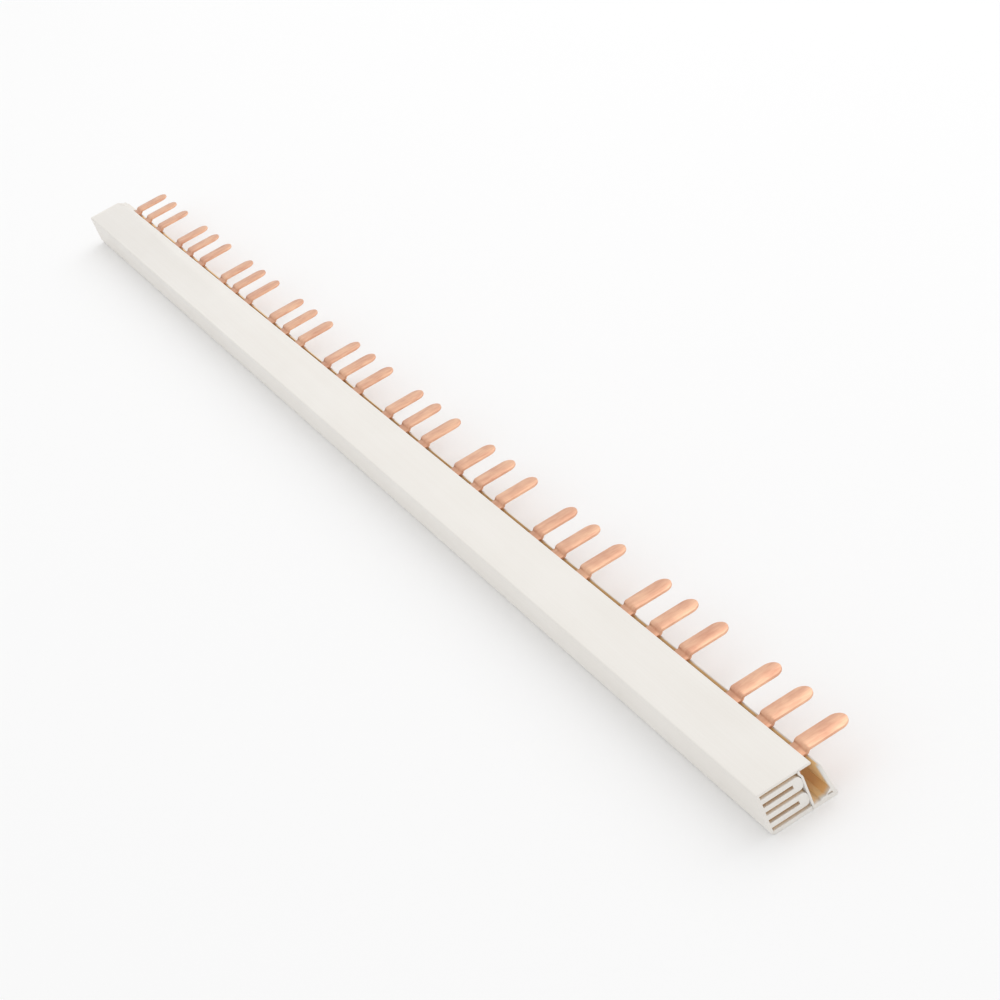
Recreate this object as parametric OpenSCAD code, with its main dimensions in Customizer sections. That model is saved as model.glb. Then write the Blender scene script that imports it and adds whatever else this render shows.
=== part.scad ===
// Comb busbar for rows of three-pole devices: three copper combs lie one above
// the other in the pockets of an insulating profile, and their tongues leave in
// one line through a channel along the profile's rear side.
// +X runs to the open end, +Y to the tongues' tips, +Z up.
// The origin is the middle of the overall outline, on the base.

/* [Row of tongues] */
// Number of devices that the bar feeds
groups = 10; // [2:1:12]
// Distance from one device to the next
group_pitch = 54; // [45:0.5:72]
// Distance from the first to the second tongue of a device
pole_pitch_a = 13.9; // [11:0.1:18]
// Distance from the second to the third tongue of a device
pole_pitch_b = 15; // [11:0.1:18]
// Profile left beyond the last tongue at the open end
near_margin = 4.2; // [1.5:0.1:12]
// Profile left beyond the first tongue at the capped end
far_margin = 14.5; // [9:0.5:30]

/* [Copper] */
// Thickness of the copper strip
copper_t = 0.65; // [0.6:0.05:1.2]
// Width of a tongue
tongue_w = 5.8; // [4:0.1:8]
// Reach of a tongue beyond the cover's edge
tongue_reach = 14.2; // [9:0.1:20]
// Height of the step that lifts a tongue to the level of the cover
joggle_h = 0.8; // [0.6:0.1:1.1]
// Angle of the step
joggle_angle = 60; // [50:5:70]
// Distance from the cover's edge to the start of the step
joggle_start = 1.2; // [0.6:0.1:2]
// Inside radius where a tongue turns up and out
bend_r = 0.5; // [0.3:0.05:0.6]
// Radius in the corners where a tongue leaves its strip
root_r = 0.4; // [0.2:0.05:0.5]
// Length of strip beyond the outermost tongues
strip_over = 0.5; // [0.2:0.1:1]

/* [Housing] */
// Width of the cover from the front wall to its rear edge
cover_w = 14.6; // [13:0.1:22]
// Thickness of the cover
cover_t = 0.7; // [0.6:0.05:1.5]
// Thickness of the front wall
wall_t = 0.8; // [0.7:0.05:1.5]
// Thickness of the floor
floor_t = 1.05; // [0.9:0.05:1.5]
// Thickness of the skins of the hollow shelves
skin_t = 1.3; // [0.6:0.05:1.5]
// Height of the chamber in a shelf
chamber_h = 1; // [0.8:0.05:2]
// Solid end of a shelf beyond its chamber
shelf_end = 2.4; // [1.5:0.1:4]
// Radius of the upper front edge
top_edge_r = 0.5; // [0.3:0.05:0.6]
// Radius of the lower front edge
low_edge_r = 1.6; // [0.6:0.1:1.7]
// Radius of the cover's rear edge
lip_r = 0.3; // [0.1:0.05:0.3]

/* [Rear channel] */
// Distance that the cover reaches over the channel, from the face of the web
lip_over = 3.3; // [3.2:0.1:5]
// Thickness of the web between pockets and channel
web_t = 0.55; // [0.5:0.05:0.9]
// Sideways step below the head of the web
web_jog = 0.4; // [0.2:0.05:0.5]
// Thickness of the rear wall
rear_t = 0.85; // [0.5:0.05:1]
// Distance of the rear wall's foot beyond the cover's edge
rear_foot = 3.35; // [3:0.05:6]
// Lean of the rear wall, from foot to top
rear_lean = 1.45; // [0.6:0.05:1.6]
// Gap between the rear wall and the tongues above it
rear_gap = 0.85; // [0.3:0.05:1.2]
// Radius of the channel's lower rear edge
rear_edge_r = 0.7; // [0.3:0.1:0.8]
// Rise of the channel's floor behind the copper's bends
floor_step = 0.4; // [0.2:0.05:0.8]
// Width of the slit in the channel's lower corner
slit_w = 1.3; // [0.8:0.1:1.3]
// Height of the slit
slit_h = 0.45; // [0.2:0.05:0.5]

/* [End cap] */
// How far the cover's rear corner is cut back at the capped end
trim_w = 2; // [0:0.1:2.5]
// Thickness of the cap's plate
cap_t = 1.5; // [1:0.1:3]
// Length of the pegs in the shelves' chambers
peg_l = 6; // [3:0.5:8]
// Space between the cap's plug and the first tongue
plug_stop = 1; // [0.6:0.1:3]

/* [Fits] */
// Play of a copper strip in its pocket, above and below
slot_gap = 0.15; // [0.05:0.01:0.2]
// Play between the two profiles
joint_gap = 0.05; // [0.03:0.01:0.08]
// Play of the end cap in the profiles
cap_gap = 0.1; // [0.05:0.01:0.15]
// Space beside a tongue where it passes the web
notch_gap = 0.3; // [0.15:0.05:0.5]

/* [Hidden] */

$fn = 48;
eps = 0.01;
// overlap of pieces that are joined into one
lap = 0.2;
// facets of each arc in the step of a tongue
step_n = 6;
// wall left round the slit in the channel's corner
gusset_rim_w = 0.5;
gusset_rim_h = 0.8;
// bead and head that lock the web into the housing
bead_r = 0.25;
head_seat = 0.2;
cream = [0.93, 0.91, 0.87];
ivory = [0.90, 0.87, 0.82];
copper = [0.86, 0.56, 0.43];

// heights of the layers, from the base up
slot_h = copper_t + 2 * slot_gap;
shelf_h = 2 * skin_t + chamber_h;
layer_h = slot_h + shelf_h;
height = floor_t + 2 * layer_h + slot_h + cover_t;
under_cover = height - cover_t;
top_strip_z = under_cover - slot_gap - copper_t;

web_top_z = under_cover - eps;

// stations across the bar
depth = cover_w + tongue_reach;
front_y = -depth / 2;
lip_y = front_y + cover_w;
tip_y = depth / 2;
pocket_y = front_y + wall_t;
web_y = lip_y - lip_over;
web_rear_y = web_y + web_t;
shelf_y = web_y - joint_gap;
chamber_y = shelf_y - shelf_end;
head_y = web_y - web_jog;

// the three copper combs: strips, bends and step
strip_front = pocket_y + slot_gap;
strip_rear = head_y - slot_gap - root_r;
bend_y = web_rear_y + slot_gap;
riser_y = bend_y + bend_r;
turn_y = riser_y + copper_t + bend_r;
joggle_r = joggle_h / (2 * (1 - cos(joggle_angle)));
step_y = lip_y + joggle_start;
step_mid_z = top_strip_z + copper_t / 2;
blade_y = step_y + 2 * joggle_r * sin(joggle_angle);

// the rear wall
rear_h = top_strip_z - rear_gap;
rear_foot_y = lip_y + rear_foot;
rear_top_y = rear_foot_y - rear_lean;
rear_slope = rear_lean / rear_h;
gusset_w = slit_w + gusset_rim_w;
gusset_h = slit_h + gusset_rim_h;

// stations along the bar
row_l = (groups - 1) * group_pitch + pole_pitch_a + pole_pitch_b;
overall_l = cap_t + far_margin + tongue_w + row_l + near_margin;
profile_l = overall_l - cap_t;
far_x = -overall_l / 2;
profile_x = far_x + cap_t;
first_x = profile_x + far_margin + tongue_w / 2;
strip_x = first_x - tongue_w / 2 - strip_over;
strip_l = row_l + tongue_w + 2 * strip_over;
pole_x = [0, pole_pitch_a, pole_pitch_a + pole_pitch_b];
plug_l = far_margin - plug_stop;

// height of the underside of a pole's strip: pole 0 lies on top
function strip_z(pole) = top_strip_z - pole * layer_h;

// place of a tongue along the bar
function tongue_x(pole, group) = first_x + pole_x[pole] + group * group_pitch;

// inner face of the leaning rear wall at a height
function rear_inner_y(z) = rear_foot_y - rear_t - z * rear_slope;

// point on the step of a tongue: two arcs that meet half way, with side 1 on
// the upper face and side -1 on the lower one
function step_point(i, side) =
    i <= step_n
        ? let (angle = joggle_angle * i / step_n, r = joggle_r - side * copper_t / 2)
            [step_y + r * sin(angle), step_mid_z + joggle_r - r * cos(angle)]
        : let (angle = joggle_angle * (2 - i / step_n), r = joggle_r + side * copper_t / 2)
            [blade_y - r * sin(angle), step_mid_z + joggle_h - joggle_r + r * cos(angle)];

// a section in Y and Z, drawn out along X
module along(x, length) {
    translate([x, 0, 0])
        rotate([90, 0, 90])
            linear_extrude(length)
                children();
}

// what a rounded corner takes away; turn 0 is the lower left corner
module corner(y, z, r, turn) {
    translate([y, z])
        rotate(turn)
            difference() {
                translate([-eps, -eps])
                    square(r + eps);
                translate([r, r])
                    circle(r);
            }
}

// band of constant thickness round a centre, between two angles
module arc_band(r, t, from, to) {
    far = 2 * (r + t);
    middle = (from + to) / 2;
    intersection() {
        difference() {
            circle(r + t / 2);
            circle(r - t / 2);
        }
        polygon([[0, 0],
                 far * [cos(from), sin(from)],
                 far * [cos(middle), sin(middle)],
                 far * [cos(to), sin(to)]]);
    }
}

// hollow shelf between two pockets
module shelf_section(z) {
    difference() {
        translate([pocket_y - eps, z])
            square([shelf_y - pocket_y + eps, shelf_h]);
        translate([pocket_y, z + skin_t])
            square([chamber_y - pocket_y, chamber_h]);
        corner(shelf_y, z, skin_t, 90);
        corner(shelf_y, z + shelf_h, skin_t, 180);
    }
}

module housing_section() {
    difference() {
        union() {
            translate([front_y, under_cover])
                square([cover_w, cover_t]);
            translate([front_y, 0])
                square([wall_t, height - eps]);
            translate([front_y, 0])
                square([shelf_y - front_y, floor_t]);
            shelf_section(floor_t + slot_h);
            shelf_section(floor_t + slot_h + layer_h);
        }
        corner(front_y, 0, low_edge_r, 0);
        corner(front_y, height, top_edge_r, 270);
        corner(lip_y, height, lip_r, 180);
        corner(lip_y, under_cover, lip_r, 90);
        // seat of the web's head in the cover
        translate([head_y - joint_gap, under_cover - eps])
            square([web_t + 2 * joint_gap, head_seat + joint_gap + eps]);
        // groove for the bead at the web's foot
        translate([shelf_y + joint_gap, floor_t / 2])
            circle(bead_r + joint_gap);
    }
}

// web with its head stepped towards the pockets
module web_section() {
    head_z = under_cover + head_seat;
    jog_top = top_strip_z;
    jog_low = jog_top - 2 * web_jog;
    polygon([[web_y, 0],
             [web_rear_y, 0],
             [web_rear_y, jog_low],
             [head_y + web_t, jog_top],
             [head_y + web_t, head_z],
             [head_y, head_z],
             [head_y, jog_top],
             [web_y, jog_low]]);
    translate([web_y, floor_t / 2])
        circle(bead_r);
}

module channel_section() {
    step_top = floor_t + floor_step;
    inner_foot_y = rear_inner_y(step_top);
    difference() {
        union() {
            web_section();
            translate([web_y, 0])
                square([rear_foot_y - web_y, floor_t]);
            polygon([[rear_foot_y - rear_t, 0],
                     [rear_foot_y, 0],
                     [rear_top_y, rear_h],
                     [rear_top_y - rear_t, rear_h]]);
            // raised floor behind the copper's bends
            translate([turn_y, floor_t - eps])
                square([inner_foot_y + eps - turn_y, floor_step + eps]);
            // gusset in the lower corner
            polygon([[inner_foot_y - gusset_w, step_top - eps],
                     [inner_foot_y + eps, step_top - eps],
                     [rear_inner_y(step_top + gusset_h) + eps, step_top + gusset_h]]);
        }
        corner(rear_foot_y, 0, rear_edge_r, 90);
        // slit above the corner
        translate([inner_foot_y - slit_w, step_top - slit_h / 2])
            square([slit_w, slit_h]);
    }
}

// opening in the web for one tongue, from its strip's level up
module notch(pole, group) {
    low = strip_z(pole) - slot_gap;
    translate([tongue_x(pole, group) - tongue_w / 2 - notch_gap, head_y - eps, low])
        cube([tongue_w + 2 * notch_gap, web_rear_y - head_y + 2 * eps, height - low]);
}

// what is cut back from the cover's rear corner at the capped end
module trim() {
    translate([profile_x, lip_y, web_top_z])
        linear_extrude(height - web_top_z + eps)
            polygon([[-eps, eps],
                     [-eps, -trim_w],
                     [far_margin - plug_stop, eps]]);
}

module housing() {
    color(cream)
        difference() {
            along(profile_x, profile_l)
                housing_section();
            trim();
        }
}

module rear_channel() {
    color(ivory)
        difference() {
            along(profile_x, profile_l)
                channel_section();
            for (pole = [0:2], group = [0:groups - 1])
                notch(pole, group);
        }
}

// side view of a tongue between its strip and its blade
module tongue_section(pole) {
    low = strip_z(pole);
    flat_y = pole == 0 ? bend_y : turn_y;
    // overlap with the root in the strip's plan
    translate([bend_y - lap, low])
        square([lap, copper_t]);
    if (pole > 0) {
        translate([bend_y, low + copper_t + bend_r])
            arc_band(bend_r + copper_t / 2, copper_t, -90, 0);
        translate([riser_y, low + copper_t + bend_r])
            square([copper_t, top_strip_z - low - copper_t - 2 * bend_r]);
        translate([turn_y, top_strip_z - bend_r])
            arc_band(bend_r + copper_t / 2, copper_t, 90, 180);
    }
    translate([flat_y, top_strip_z])
        square([step_y - flat_y, copper_t]);
    polygon(concat([for (i = [0:2 * step_n]) step_point(i, 1)],
                   [for (i = [2 * step_n:-1:0]) step_point(i, -1)]));
    // overlap with the blade's plan
    translate([blade_y, top_strip_z + joggle_h])
        square([2 * lap, copper_t]);
}

// strip with the roots of its tongues, in plan
module strip_plan(pole) {
    translate([strip_x, strip_front])
        square([strip_l, strip_rear - strip_front]);
    for (group = [0:groups - 1])
        translate([tongue_x(pole, group), strip_rear])
            difference() {
                translate([-tongue_w / 2 - root_r, -eps])
                    square([tongue_w + 2 * root_r, bend_y - strip_rear + eps]);
                for (side = [-1, 1])
                    translate([side * (tongue_w / 2 + root_r), root_r])
                        circle(root_r);
                for (side = [0, 1])
                    mirror([side, 0])
                        translate([tongue_w / 2, root_r])
                            square([root_r + eps, bend_y - strip_rear]);
            }
}

// blade with its round tip, in plan
module blade_plan() {
    translate([-tongue_w / 2, blade_y + lap])
        square([tongue_w, tip_y - tongue_w / 2 - blade_y - lap]);
    translate([0, tip_y - tongue_w / 2])
        circle(tongue_w / 2);
}

module comb(pole) {
    color(copper)
        union() {
            translate([0, 0, strip_z(pole)])
                linear_extrude(copper_t)
                    strip_plan(pole);
            for (group = [0:groups - 1]) {
                along(tongue_x(pole, group) - tongue_w / 2, tongue_w)
                    tongue_section(pole);
                translate([tongue_x(pole, group), 0, top_strip_z + joggle_h])
                    linear_extrude(copper_t)
                        blade_plan();
            }
        }
}

module comb_l1() {
    comb(0);
}

module comb_l2() {
    comb(1);
}

module comb_l3() {
    comb(2);
}

// outline that the cap shares with the two profiles
module cap_section() {
    difference() {
        polygon([[front_y, 0],
                 [rear_foot_y, 0],
                 [rear_top_y, rear_h],
                 [lip_y - trim_w, height],
                 [front_y, height]]);
        corner(front_y, 0, low_edge_r, 0);
        corner(front_y, height, top_edge_r, 270);
        corner(rear_foot_y, 0, rear_edge_r, 90);
    }
}

// plug that fills the channel up to the first tongue
module plug_section() {
    low = floor_t + floor_step + gusset_h + cap_gap;
    inner_top_y = rear_inner_y(rear_h) - cap_gap;
    polygon([[web_rear_y + cap_gap, low],
             [rear_inner_y(low) - cap_gap, low],
             [inner_top_y, rear_h],
             [inner_top_y, under_cover - cap_gap],
             [web_rear_y + cap_gap, under_cover - cap_gap]]);
}

module end_cap() {
    color(cream)
        union() {
            along(far_x, cap_t)
                cap_section();
            along(profile_x - eps, plug_l + eps)
                plug_section();
            for (shelf = [0, 1])
                along(profile_x - eps, peg_l + eps)
                    translate([pocket_y + cap_gap,
                               floor_t + slot_h + skin_t + cap_gap + shelf * layer_h])
                        square([chamber_y - pocket_y - 2 * cap_gap, chamber_h - 2 * cap_gap]);
        }
}

housing();
rear_channel();
comb_l1();
comb_l2();
comb_l3();
end_cap();
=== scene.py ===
"""Dresses the comb busbar: extruded profiles, copper combs, end cap and studio.

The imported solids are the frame.  Each class below takes one kind of piece,
rounds its edges and gives it a finish, all in the frame's own metres.
"""

import logging
import math
from dataclasses import dataclass
from enum import Enum

import bmesh
import bpy
from mathutils import Matrix, Vector


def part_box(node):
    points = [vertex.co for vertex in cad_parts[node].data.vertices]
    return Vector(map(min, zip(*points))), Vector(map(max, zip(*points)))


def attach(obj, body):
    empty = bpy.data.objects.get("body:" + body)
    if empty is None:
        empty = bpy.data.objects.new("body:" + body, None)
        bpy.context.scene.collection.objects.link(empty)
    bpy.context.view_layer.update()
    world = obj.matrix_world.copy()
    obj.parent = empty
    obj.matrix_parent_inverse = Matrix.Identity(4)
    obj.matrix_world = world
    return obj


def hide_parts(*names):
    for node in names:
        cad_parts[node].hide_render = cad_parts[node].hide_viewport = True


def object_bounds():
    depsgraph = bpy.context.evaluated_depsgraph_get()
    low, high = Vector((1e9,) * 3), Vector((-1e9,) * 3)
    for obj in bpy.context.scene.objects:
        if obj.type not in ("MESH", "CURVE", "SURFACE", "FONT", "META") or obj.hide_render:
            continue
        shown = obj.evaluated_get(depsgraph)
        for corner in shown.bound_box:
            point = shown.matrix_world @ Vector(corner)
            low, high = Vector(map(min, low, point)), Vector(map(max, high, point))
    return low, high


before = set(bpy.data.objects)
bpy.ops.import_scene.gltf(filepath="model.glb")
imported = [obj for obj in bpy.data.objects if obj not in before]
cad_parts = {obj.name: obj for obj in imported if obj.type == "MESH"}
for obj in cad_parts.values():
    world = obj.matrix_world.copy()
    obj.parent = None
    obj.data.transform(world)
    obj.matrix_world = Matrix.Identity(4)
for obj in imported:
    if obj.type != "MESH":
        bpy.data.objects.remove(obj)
CAD_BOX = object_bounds()

MM = 0.001
# How the copies of the solids' meshes are cleaned and shaded
MERGE_DISTANCE = 1e-6
FLAT_ANGLE = math.radians(0.6)
CREASE_ANGLE = math.radians(40)
LOG = logging.getLogger("comb_busbar")


Colour = tuple[float, float, float]
BLACK: Colour = (0.0, 0.0, 0.0)


class Piece(Enum):
    """The CAD nodes that are dressed, by name."""

    HOUSING = "housing"
    CHANNEL = "rear_channel"
    COMB_L1 = "comb_l1"
    COMB_L2 = "comb_l2"
    COMB_L3 = "comb_l3"
    CAP = "end_cap"


class Grain(Enum):
    """Ways in which a finish is drawn out: scale of its streaks per metre."""

    EXTRUDED = (6.0, 2600.0, 2600.0)
    STAMPED = (900.0, 220.0, 900.0)
    MOULDED = (500.0, 500.0, 500.0)


# --------------------------------------------------------------------------
# shader maths
# --------------------------------------------------------------------------


@dataclass
class Value:
    """A number that varies over a surface, held as a node's output socket.

    Args:
        tree: the node tree that new Math nodes are added to.
        socket: the output that carries the number.
    """

    tree: bpy.types.NodeTree
    socket: bpy.types.NodeSocket

    def _math(
        self,
        operation: str,
        *others: "Value | float",
        first: "Value | float | None" = None,
    ) -> "Value":
        """Adds one Math node.

        Args:
            operation: the Math node's operation.
            others: the inputs after the first.
            first: the first input, where it isn't this value.

        Returns:
            The node's result.
        """
        node = self.tree.nodes.new("ShaderNodeMath")
        node.operation = operation
        start = self if first is None else first
        for slot, item in zip(node.inputs, (start, *others)):
            if isinstance(item, Value):
                self.tree.links.new(item.socket, slot)
            else:
                slot.default_value = float(item)
        return Value(self.tree, node.outputs[0])

    def __add__(self, other: "Value | float") -> "Value":
        """Sum."""
        return self._math("ADD", other)

    __radd__ = __add__

    def __sub__(self, other: "Value | float") -> "Value":
        """Difference."""
        return self._math("SUBTRACT", other)

    def __rsub__(self, other: "Value | float") -> "Value":
        """Difference from a plain number."""
        return self._math("SUBTRACT", self, first=other)

    def __mul__(self, other: "Value | float") -> "Value":
        """Product."""
        return self._math("MULTIPLY", other)

    __rmul__ = __mul__

    def lowest(self, other: "Value | float") -> "Value":
        """The smaller of two values."""
        return self._math("MINIMUM", other)

    def highest(self, other: "Value | float") -> "Value":
        """The larger of two values."""
        return self._math("MAXIMUM", other)

    def clamped(self) -> "Value":
        """This value, held between 0 and 1."""
        return self.highest(0.0).lowest(1.0)

    def ramp(self, low: float, high: float) -> "Value":
        """A straight rise from 0 at low to 1 at high.

        Args:
            low: the value that gives 0.
            high: the value that gives 1.

        Returns:
            The rise, held between 0 and 1.
        """
        return ((self - low) * (1.0 / (high - low))).clamped()


class Surface:
    """A material under construction, with the nodes that every finish uses."""

    def __init__(self, name: str) -> None:
        """Starts an empty material with one Principled shader.

        Args:
            name: the material's name.
        """
        self.material = bpy.data.materials.new(name)
        self.material.use_nodes = True
        self.tree = self.material.node_tree
        self.tree.nodes.clear()
        output = self.tree.nodes.new("ShaderNodeOutputMaterial")
        self.shader = self.tree.nodes.new("ShaderNodeBsdfPrincipled")
        self.tree.links.new(self.shader.outputs["BSDF"], output.inputs["Surface"])
        self.place = self.make("ShaderNodeTexCoord").outputs["Object"]
        axes = self.make("ShaderNodeSeparateXYZ", Vector=self.place).outputs
        self.x, self.y, self.z = (Value(self.tree, axis) for axis in axes)

    def make(self, kind: str, settings: dict | None = None, **inputs: object) -> bpy.types.Node:
        """Adds a node of any kind.

        Args:
            kind: the node's type.
            settings: its properties, which are set first.
            inputs: its inputs, by socket name with _ for a space.

        Returns:
            The node.
        """
        node = self.tree.nodes.new(kind)
        for key, item in (settings or {}).items():
            setattr(node, key, item)
        for key, item in inputs.items():
            slot = node.inputs[key.replace("_", " ")]
            if isinstance(item, Value):
                item = item.socket
            if isinstance(item, bpy.types.NodeSocket):
                self.tree.links.new(item, slot)
            else:
                slot.default_value = item
        return node

    def noise(
        self,
        scale: tuple[float, float, float],
        detail: float = 2.0,
        roughness: float = 0.5,
    ) -> Value:
        """Smooth noise in the piece's own coordinates.

        Args:
            scale: waves per metre along X, Y and Z.
            detail: octaves.
            roughness: weight of the finer octaves.

        Returns:
            The noise, about 0 to 1.
        """
        mapping = self.make("ShaderNodeMapping", Vector=self.place, Scale=scale)
        node = self.make(
            "ShaderNodeTexNoise",
            Vector=mapping.outputs["Vector"],
            Scale=1.0,
            Detail=detail,
            Roughness=roughness,
        )
        return Value(self.tree, node.outputs[0])

    def blend(self, amount: Value, start: object, end: object) -> bpy.types.NodeSocket:
        """Mixes two colours.

        Args:
            amount: 0 for the first colour, 1 for the second.
            start: the first colour, or a socket that carries it.
            end: the second colour, or a socket that carries it.

        Returns:
            The socket of the mixed colour.
        """
        node = self.tree.nodes.new("ShaderNodeMix")
        node.data_type = "RGBA"
        self.tree.links.new(amount.socket, node.inputs["Factor"])
        for slot, item in ((node.inputs[6], start), (node.inputs[7], end)):
            if isinstance(item, bpy.types.NodeSocket):
                self.tree.links.new(item, slot)
            else:
                slot.default_value = (*item, 1.0)
        return node.outputs[2]

    def relief(self, height: Value, strength: float, distance: float) -> None:
        """Feeds a height to the shader's normal.

        Args:
            height: the height, 0 to 1.
            strength: the Bump node's strength.
            distance: the depth of the relief in metres.
        """
        bump = self.make("ShaderNodeBump", Height=height, Strength=strength, Distance=distance)
        self.tree.links.new(bump.outputs["Normal"], self.shader.inputs["Normal"])

    def drive(self, name: str, value: "Value | bpy.types.NodeSocket") -> None:
        """Feeds one of the shader's inputs.

        Args:
            name: the input's name.
            value: what feeds it.
        """
        socket = value.socket if isinstance(value, Value) else value
        self.tree.links.new(socket, self.shader.inputs[name])

    def hold(self, **constants: object) -> None:
        """Sets inputs of the shader that are the same all over.

        Args:
            constants: the inputs, by name with _ for a space.
        """
        for key, item in constants.items():
            self.shader.inputs[key.replace("_", " ")].default_value = item


# --------------------------------------------------------------------------
# finishes
# --------------------------------------------------------------------------


@dataclass(frozen=True)
class Cavity:
    """The space inside a profile, where its surfaces take painted warm shade and bounce light.

    Attributes:
        low: lowest Y and Z of the space.
        high: highest Y and Z of the space.
        mouth: X of the open end.
        lean: how far the high Y moves back per metre of height.
    """

    low: tuple[float, float]
    high: tuple[float, float]
    mouth: float
    lean: float = 0.0

    def mask(self, surface: Surface, soft: float = 0.12 * MM, reach: float = 1.5 * MM) -> Value:
        """Where a surface lies inside the space.

        Args:
            surface: the material under construction.
            soft: width of the mask's edges.
            reach: depth behind the mouth at which the mask is full.

        Returns:
            1 inside, 0 outside.
        """
        rear = surface.y + surface.z * self.lean
        inside = surface.y.ramp(self.low[0], self.low[0] + soft)
        inside = inside * (1.0 - rear.ramp(self.high[0] - soft, self.high[0]))
        inside = inside * surface.z.ramp(self.low[1], self.low[1] + soft)
        inside = inside * (1.0 - surface.z.ramp(self.high[1] - soft, self.high[1]))
        return inside * (1.0 - surface.x.ramp(self.mouth - reach, self.mouth))


@dataclass(frozen=True)
class ExtrudedPlastic:
    """Cream insulating plastic drawn through a die.

    Attributes:
        name: the material's name.
        skin: its colour.
        shade: the colour that its clouds drift to.
        cavity_painted_light: its colour inside the cavity.
        cavity: where the profile is hollow.
        roughness: its mean roughness.
        die_lines: strength of the lines left by the die.
        relief: depth of those lines.
        through: strength of the painted emission inside the cavity, a stand-in for light that
            comes through the walls.
    """

    name: str
    skin: Colour
    shade: Colour
    # cavity_painted_light: painted warm shade and bounce light inside the cavity, not the
    # plastic's own colour; also its painted emission colour.
    cavity_painted_light: Colour
    cavity: Cavity
    roughness: float = 0.42
    die_lines: float = 0.12
    relief: float = 0.05 * MM
    through: float = 0.12

    def build(self) -> bpy.types.Material:
        """Makes the material.

        Returns:
            The finished material.
        """
        surface = Surface(self.name)
        lines = surface.noise(Grain.EXTRUDED.value, detail=3.0)
        clouds = surface.noise((35.0, 90.0, 90.0), detail=2.0)
        speck = surface.noise((1400.0, 1400.0, 1400.0), detail=2.0)
        drift = (clouds * 0.6 + lines * 0.4).ramp(0.35, 0.7)
        tone = surface.blend(drift, self.skin, self.shade)
        # painted light: inside the cavity the colour turns to painted warm shade and bounce
        # light, and the same colour is emitted as a stand-in for light through the walls
        inside = self.cavity.mask(surface)
        tone = surface.blend(inside, tone, self.cavity_painted_light)
        surface.drive("Base Color", tone)
        surface.drive("Emission Color", surface.blend(inside, BLACK, self.cavity_painted_light))
        surface.hold(Emission_Strength=self.through)
        uneven = (lines - 0.5) * 0.12 + (clouds - 0.5) * 0.1
        surface.drive("Roughness", uneven + self.roughness)
        surface.relief(lines * 0.6 + speck * 0.4, self.die_lines, self.relief)
        surface.hold(IOR=1.5, Specular_IOR_Level=0.42)
        return surface.material


@dataclass(frozen=True)
class BareCopper:
    """Stamped copper strip: fine rolling grain, with painted shade at the step.

    Attributes:
        name: the material's name.
        bright: its colour where clean.
        dull: the colour that its grain drifts to.
        root_painted_shade: painted shade at the root of the tongues, by the step.
        root_shade_share: share of that painted shade at the root.
        step_start: Y at which the dark root starts to fade.
        step_end: Y at which it has faded.
        roughness: its mean roughness.
        rolling: strength of the rolling grain.
        relief: depth of the grain.
    """

    name: str
    bright: Colour = (0.96, 0.60, 0.40)
    dull: Colour = (0.72, 0.37, 0.25)
    root_painted_shade: Colour = (0.50, 0.22, 0.12)
    root_shade_share: float = 0.45
    step_start: float = 1.5 * MM
    step_end: float = 3.2 * MM
    roughness: float = 0.36
    rolling: float = 0.25
    relief: float = 0.02 * MM

    def build(self) -> bpy.types.Material:
        """Makes the material.

        Returns:
            The finished material.
        """
        surface = Surface(self.name)
        grain = surface.noise(Grain.STAMPED.value, detail=4.0, roughness=0.6)
        patches = surface.noise((160.0, 160.0, 160.0), detail=2.0)
        drift = (grain * 0.5 + patches * 0.5).ramp(0.35, 0.68)
        tone = surface.blend(drift, self.bright, self.dull)
        # painted shade at the tongues' root, where the step sits in shadow
        root = 1.0 - surface.y.ramp(self.step_start, self.step_end)
        tone = surface.blend(root * self.root_shade_share, tone, self.root_painted_shade)
        surface.drive("Base Color", tone)
        surface.drive("Roughness", (grain - 0.5) * 0.25 + self.roughness)
        surface.relief(grain, self.rolling, self.relief)
        surface.hold(Metallic=1.0)
        return surface.material


@dataclass(frozen=True)
class MouldedPlastic:
    """Moulded cream plastic with a fine matt texture.

    Attributes:
        name: the material's name.
        skin: its colour.
        shade: the colour that its clouds drift to.
        roughness: its mean roughness.
        texture: strength of the matt texture.
        relief: depth of the texture.
    """

    name: str
    skin: Colour
    shade: Colour
    roughness: float = 0.48
    texture: float = 0.12
    relief: float = 0.04 * MM

    def build(self) -> bpy.types.Material:
        """Makes the material.

        Returns:
            The finished material.
        """
        surface = Surface(self.name)
        clouds = surface.noise((120.0, 120.0, 120.0), detail=2.0)
        speck = surface.noise(Grain.MOULDED.value, detail=4.0, roughness=0.65)
        surface.drive("Base Color", surface.blend(clouds.ramp(0.3, 0.7), self.skin, self.shade))
        surface.drive("Roughness", (speck - 0.5) * 0.15 + self.roughness)
        surface.relief(speck, self.texture, self.relief)
        surface.hold(IOR=1.5, Specular_IOR_Level=0.42)
        return surface.material


# --------------------------------------------------------------------------
# pieces
# --------------------------------------------------------------------------


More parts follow.
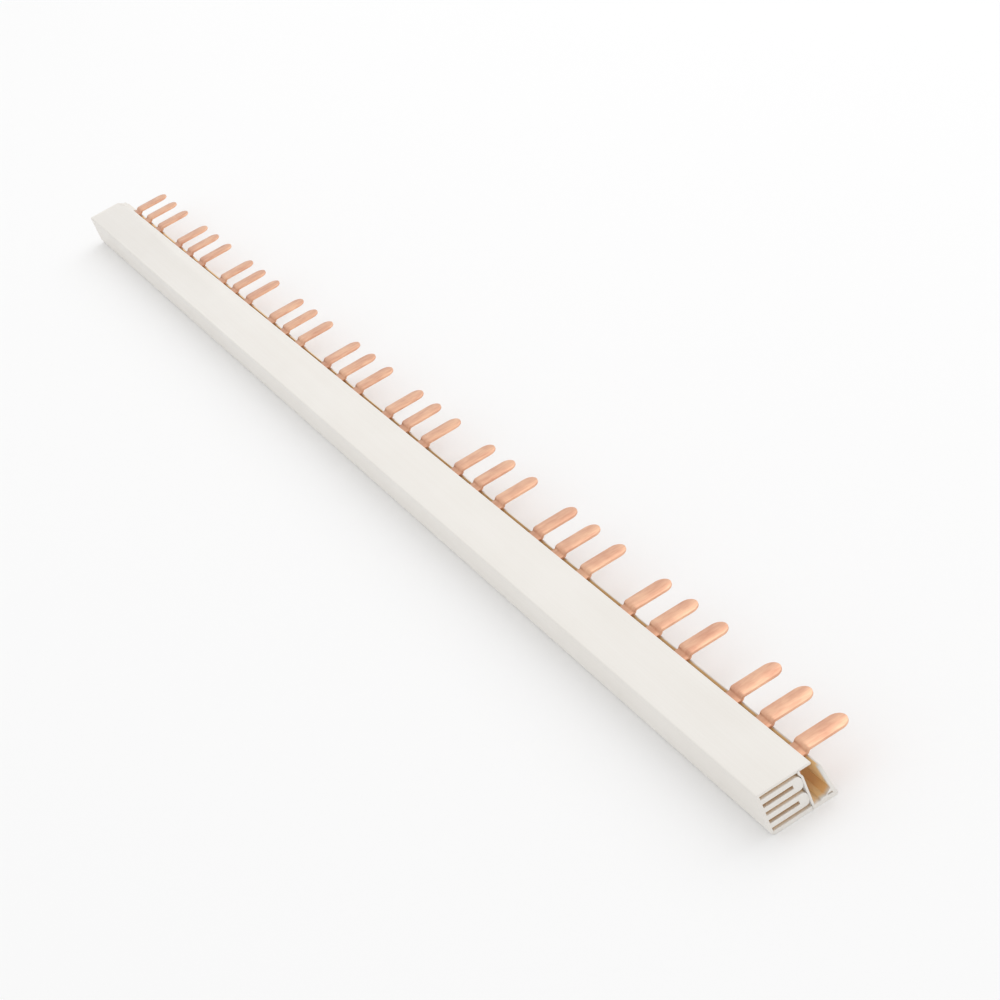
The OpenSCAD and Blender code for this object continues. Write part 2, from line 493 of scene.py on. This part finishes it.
@dataclass
class DressedPiece:
    """A piece that stands for one CAD node, with its edges rounded.

    Attributes:
        node: the CAD node that it stands for.
        slot: the record's material slot; not used.
        material: the finish.
        edge: width of the rounding on its outer edges, 0 for none.
        sharp: least angle between two faces that is rounded.
        steps: facets across a rounded edge.
    """

    node: Piece
    slot: str
    material: bpy.types.Material
    edge: float = 0.08 * MM
    sharp: float = math.radians(35)
    steps: int = 2

    def softened(self) -> bmesh.types.BMesh:
        """Merges a copy of the node's mesh and rounds its outer edges, if asked to.

        Returns:
            The new mesh.
        """
        mesh = bmesh.new()
        mesh.from_mesh(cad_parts[self.node.value].data)
        bmesh.ops.remove_doubles(mesh, verts=mesh.verts, dist=MERGE_DISTANCE)
        if not self.edge:
            return mesh
        bmesh.ops.dissolve_limit(
            mesh,
            angle_limit=FLAT_ANGLE,
            verts=mesh.verts,
            edges=mesh.edges,
        )
        ridges = [
            edge
            for edge in mesh.edges
            if len(edge.link_faces) == 2
            and edge.is_convex
            and edge.calc_face_angle(0.0) > self.sharp
        ]
        bmesh.ops.bevel(
            mesh,
            geom=ridges,
            offset=self.edge,
            offset_type="OFFSET",
            segments=self.steps,
            profile=0.5,
            affect="EDGES",
            material=-1,
            clamp_overlap=False,
        )
        return mesh

    def build(self) -> bpy.types.Object:
        """Makes the piece, dresses it and sets it on its body.

        Returns:
            The finished piece.
        """
        mesh = self.softened()
        data = bpy.data.meshes.new(f"{self.node.value}_dressed")
        for face in mesh.faces:
            face.smooth = True
        mesh.to_mesh(data)
        mesh.free()
        data.set_sharp_from_angle(angle=CREASE_ANGLE)
        data.materials.append(self.material)
        piece = bpy.data.objects.new(f"{self.node.value}_dressed", data)
        bpy.context.scene.collection.objects.link(piece)
        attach(piece, "root")
        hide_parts(self.node.value)
        LOG.info("%s: %d faces", piece.name, len(data.polygons))
        return piece


@dataclass
class Busbar:
    """The whole bar, piece by piece.

    Attributes:
        skin: colour of the plastic.
        shade: the colour that its clouds drift to.
        channel_painted_light: painted warm shade and bounce light inside the channel, also
            emitted as painted light.
        pocket_painted_shade: painted warm shade inside the housing's pockets, also emitted
            faintly as painted light.
        wall: thickness of the housing's front wall.
        floor: thickness of both profiles' floors.
        cover: thickness of the housing's cover.
        web: width at the channel's front side that keeps the outer colour.
        rear_wall: thickness of the channel's rear wall.
        rear_lean: how far that wall leans back per metre of height.
    """

    skin: Colour = (0.86, 0.83, 0.785)
    shade: Colour = (0.83, 0.795, 0.745)
    channel_painted_light: Colour = (0.80, 0.50, 0.22)
    pocket_painted_shade: Colour = (0.60, 0.40, 0.20)
    wall: float = 0.8 * MM
    floor: float = 1.05 * MM
    cover: float = 0.7 * MM
    web: float = 0.95 * MM
    rear_wall: float = 0.85 * MM
    rear_lean: float = 1.45 / 9.45

    def housing_finish(self) -> bpy.types.Material:
        """The housing's plastic, with painted warm shade inside its pockets.

        Returns:
            The material.
        """
        low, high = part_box(Piece.HOUSING.value)
        # the pockets, where painted shade is laid over the plastic
        inside = Cavity(
            low=(low.y + self.wall * 0.9, low.z + self.floor * 0.9),
            high=(high.y, high.z - self.cover * 0.9),
            mouth=high.x,
        )
        return ExtrudedPlastic(
            "cream extrusion", self.skin, self.shade, self.pocket_painted_shade, inside
        ).build()

    def channel_finish(self) -> bpy.types.Material:
        """The channel's plastic, with painted warm shade and bounce light inside.

        Returns:
            The material.
        """
        low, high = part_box(Piece.CHANNEL.value)
        # the channel's inside, where painted warm shade and bounce light are laid over the
        # plastic
        inside = Cavity(
            low=(low.y + self.web, low.z + self.floor * 0.9),
            high=(high.y - self.rear_wall * 0.3, high.z),
            mouth=high.x,
            lean=self.rear_lean,
        )
        return ExtrudedPlastic(
            "ivory extrusion", self.skin, self.shade, self.channel_painted_light, inside
        ).build()

    def build(self) -> None:
        """Makes every piece of the bar in order."""
        copper = BareCopper("bare copper").build()
        cap = MouldedPlastic("cream moulding", self.skin, self.shade).build()
        makers = [
            DressedPiece(
                Piece.HOUSING, "housing_profile", self.housing_finish(), edge=0.07 * MM
            ),
            # its slit takes no rounding
            DressedPiece(Piece.CHANNEL, "channel_profile", self.channel_finish(), edge=0.0),
            DressedPiece(Piece.COMB_L1, "copper", copper, edge=0.1 * MM),
            DressedPiece(Piece.COMB_L2, "copper", copper, edge=0.1 * MM),
            DressedPiece(Piece.COMB_L3, "copper", copper, edge=0.1 * MM),
            DressedPiece(Piece.CAP, "cap", cap, edge=0.15 * MM),
        ]
        for maker in makers:
            maker.build()


# --------------------------------------------------------------------------
# studio
# --------------------------------------------------------------------------


@dataclass(frozen=True)
class SoftLight:
    """One large rectangular lamp.

    Attributes:
        name: the lamp's name.
        place: where it stands, in metres.
        aim: the point it faces.
        size: its width and height.
        power: its power in watts.
        colour: its colour.
    """

    name: str
    place: tuple[float, float, float]
    aim: tuple[float, float, float]
    size: tuple[float, float]
    power: float
    colour: Colour = (1.0, 1.0, 1.0)

    def build(self) -> bpy.types.Object:
        """Sets the lamp up.

        Returns:
            The lamp's object.
        """
        data = bpy.data.lights.new(self.name, "AREA")
        data.shape = "RECTANGLE"
        data.size, data.size_y = self.size
        data.energy = self.power
        data.color = self.colour
        lamp = bpy.data.objects.new(self.name, data)
        lamp.location = self.place
        ray = Vector(self.aim) - Vector(self.place)
        lamp.rotation_euler = ray.to_track_quat("-Z", "Y").to_euler()
        bpy.context.scene.collection.objects.link(lamp)
        return lamp


@dataclass
class Studio:
    """Floor, lamp, sky and camera.

    Attributes:
        eye: the camera's place.
        right: direction to the right of its picture.
        forward: direction in which it looks.
        lens: its focal length in millimetres.
        sensor: its sensor's width in millimetres.
        near: least distance that it sees.
        floor_size: side of the floor.
        floor_tone: the floor's colour.
        sky: strength of the white sky.
        key: the lamp.
    """

    eye: tuple[float, float, float] = (0.670935, -0.137853, 0.334569)
    right: tuple[float, float, float] = (0.409165, 0.839645, -0.357184)
    forward: tuple[float, float, float] = (-0.850608, 0.209321, -0.482339)
    lens: float = 87.129
    sensor: float = 36.0
    near: float = 0.01
    floor_size: float = 6.0
    floor_tone: Colour = (0.95, 0.95, 0.95)
    sky: float = 0.86
    key: SoftLight = SoftLight(
        "key",
        place=(-0.3, 1.1, 1.4),
        aim=(0.0, 0.0, 0.0),
        size=(2.0, 2.0),
        power=9.5,
    )

    def camera(self) -> bpy.types.Object:
        """Stands the camera where the bar is seen from its open end.

        Returns:
            The camera's object.
        """
        data = bpy.data.cameras.new("camera")
        data.sensor_width = self.sensor
        data.lens = self.lens
        data.clip_start = self.near
        ahead = Vector(self.forward).normalized()
        side = Vector(self.right)
        side = (side - ahead * side.dot(ahead)).normalized()
        up = side.cross(ahead)
        turn = Matrix((side, up, -ahead)).transposed().to_4x4()
        view = bpy.data.objects.new("camera", data)
        view.matrix_world = Matrix.Translation(Vector(self.eye)) @ turn
        bpy.context.scene.collection.objects.link(view)
        bpy.context.scene.camera = view
        return view

    def floor(self) -> bpy.types.Object:
        """Lays the pale floor under the bar.

        Returns:
            The floor's object.
        """
        surface = Surface("floor")
        surface.hold(Roughness=0.9, Specular_IOR_Level=0.1)
        surface.hold(Base_Color=(*self.floor_tone, 1.0))
        mesh = bmesh.new()
        bmesh.ops.create_grid(mesh, x_segments=1, y_segments=1, size=self.floor_size / 2)
        bmesh.ops.translate(mesh, verts=mesh.verts, vec=(0.0, 0.0, CAD_BOX[0][2]))
        data = bpy.data.meshes.new("floor")
        mesh.to_mesh(data)
        mesh.free()
        data.materials.append(surface.material)
        ground = bpy.data.objects.new("floor", data)
        bpy.context.scene.collection.objects.link(ground)
        return ground

    def light(self) -> None:
        """Hangs the lamp and sets the sky."""
        world = bpy.data.worlds.new("sky")
        world.use_nodes = True
        background = world.node_tree.nodes["Background"]
        background.inputs["Color"].default_value = (1.0, 1.0, 1.0, 1.0)
        background.inputs["Strength"].default_value = self.sky
        bpy.context.scene.world = world
        self.key.build()

    def build(self) -> None:
        """Sets the whole studio up."""
        self.camera()
        self.floor()
        self.light()
        bpy.context.scene.view_settings.view_transform = "Standard"


def main() -> None:
    """Builds the bar and its studio."""
    logging.basicConfig(level=logging.INFO, format="%(name)s: %(message)s")
    Busbar().build()
    Studio().build()


if __name__ == "__main__":
    main()
